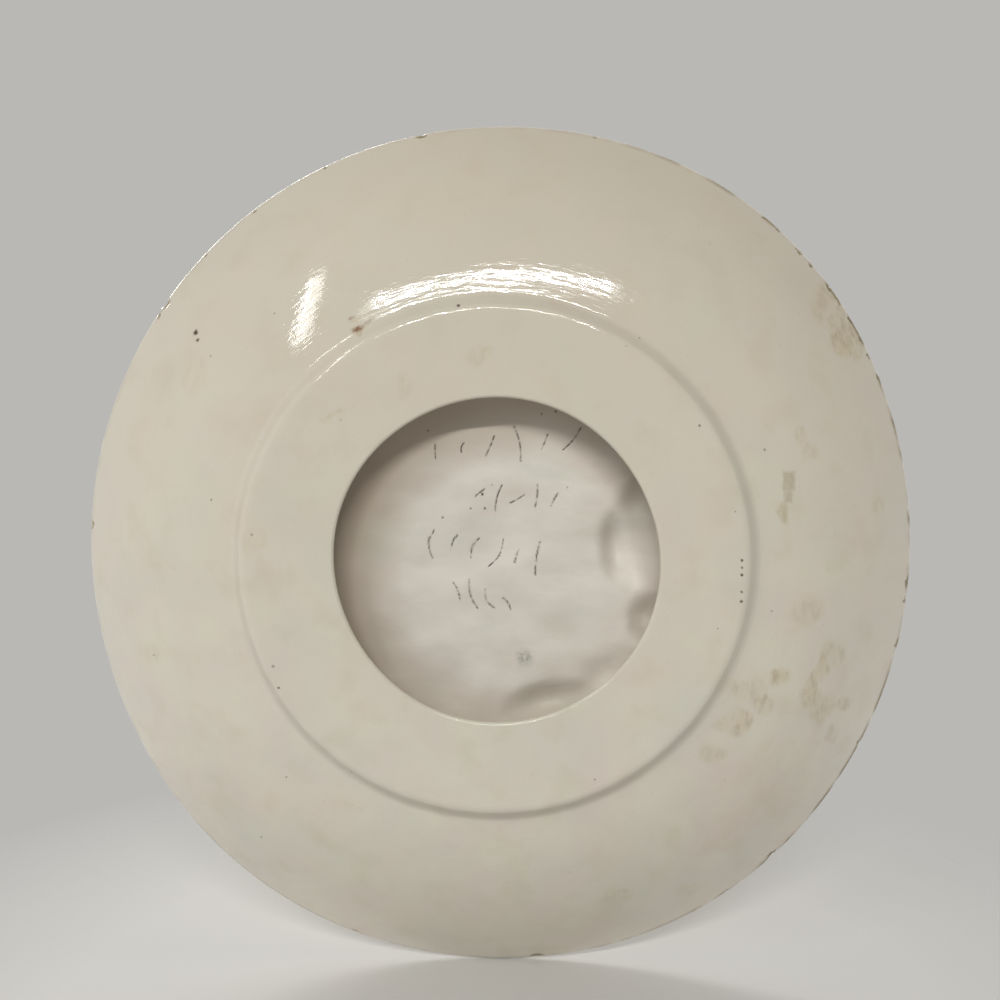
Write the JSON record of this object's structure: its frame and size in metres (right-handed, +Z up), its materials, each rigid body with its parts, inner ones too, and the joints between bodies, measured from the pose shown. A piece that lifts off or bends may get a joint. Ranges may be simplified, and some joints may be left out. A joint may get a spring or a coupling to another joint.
{
  "type": "decorative wall plate",
  "caption": "Round glazed earthenware wall plate: convex back with a flat raised ring, a hand hole into a hollow boss, and a wide dished front.",
  "frame": {"origin": "on the flat back ring that lies against the wall, straight above the hand hole and halfway across the ring; the plate's centre is 85 mm below it", "axes": "+Y out of the back towards the wall, +Z up as the plate hangs, the dished front faces -Y"},
  "size_m": [0.3744, 0.0528, 0.3813],
  "materials": {
    "cream_glaze": "glossy cream glaze over fired earthenware, slightly stained and chipped at the rim, duller inside the hollow"
  },
  "bodies": {
    "root": {"wall_plate": "cream_glaze"}
  },
  "joints": []
}
